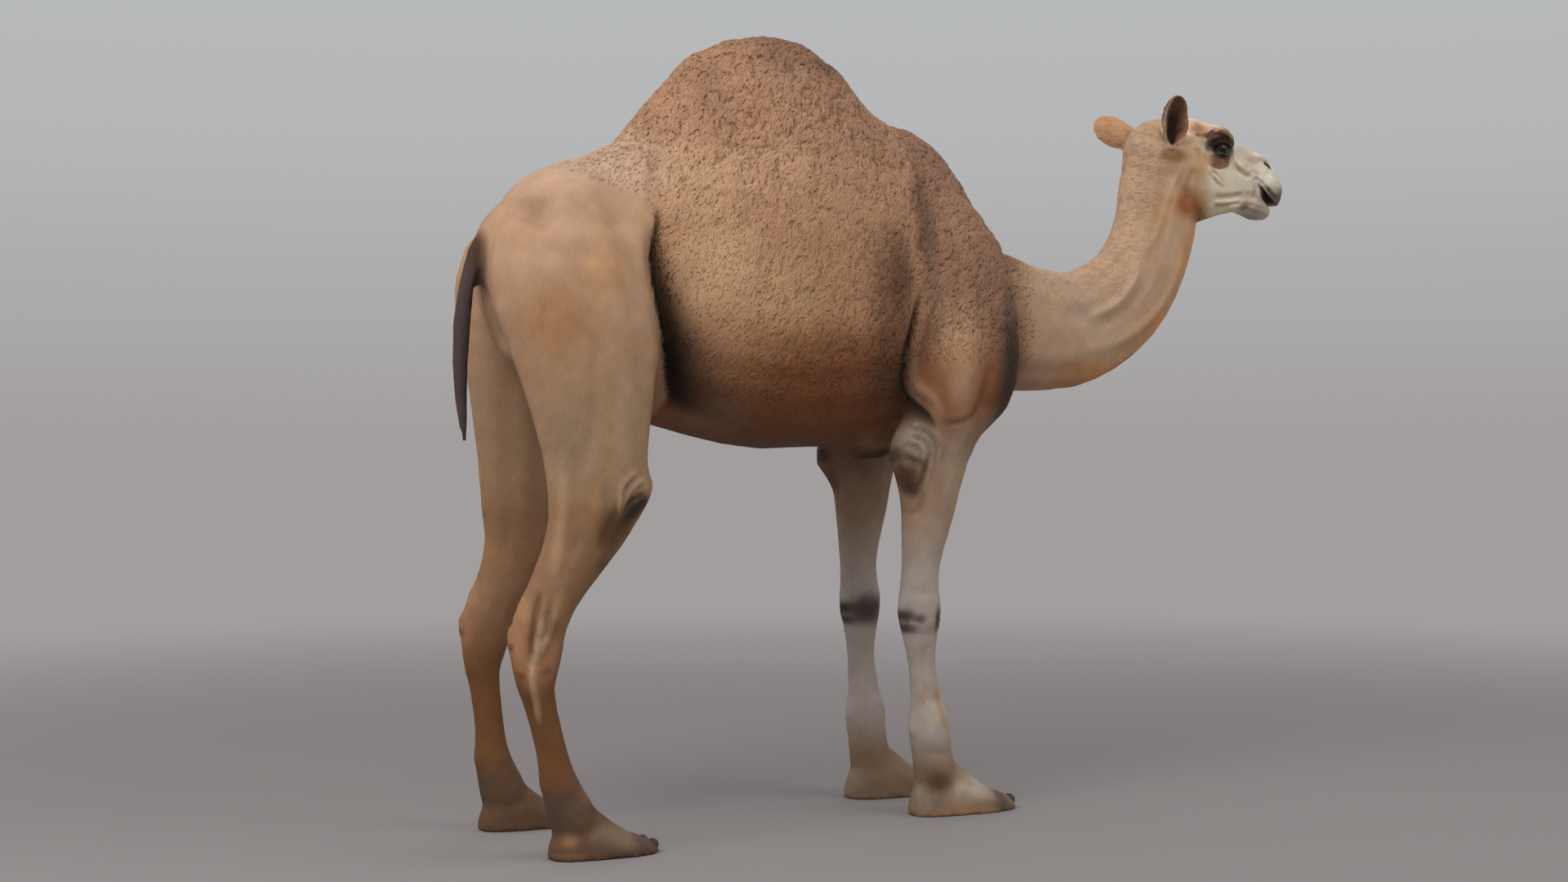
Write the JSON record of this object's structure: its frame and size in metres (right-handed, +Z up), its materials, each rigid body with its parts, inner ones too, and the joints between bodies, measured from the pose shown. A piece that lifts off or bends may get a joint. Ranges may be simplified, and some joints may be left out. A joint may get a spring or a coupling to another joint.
{
  "type": "dromedary camel, life-size still model",
  "caption": "One-humped camel standing square on all four feet, head level, tail hanging: tan coat, curly wool on hump, back and shoulder.",
  "frame": {"origin": "on the floor under the middle of the model's bounding box", "axes": "+X the way the camel faces, +Y its left side, +Z up"},
  "size_m": [2.8262, 0.6562, 2.161],
  "materials": {
    "coat": "short hair and curly wool, dry and matt",
    "nail": "worn horn, slightly satin",
    "eye": "wet and glossy"
  },
  "bodies": {
    "root": {"trunk": "coat", "hump": "coat", "neck": "coat", "head": "coat", "tail": "coat", "ear_left": "coat", "eye_left": "eye", "fore_leg_left": "coat", "fore_foot_left": "coat", "fore_toenail_left_outer": "nail", "fore_toenail_left_inner": "nail", "hind_leg_left": "coat", "hind_foot_left": "coat", "hind_toenail_left_outer": "nail", "hind_toenail_left_inner": "nail", "ear_right": "coat", "eye_right": "eye", "fore_leg_right": "coat", "fore_foot_right": "coat", "fore_toenail_right_outer": "nail", "fore_toenail_right_inner": "nail", "hind_leg_right": "coat", "hind_foot_right": "coat", "hind_toenail_right_outer": "nail", "hind_toenail_right_inner": "nail"}
  },
  "joints": []
}
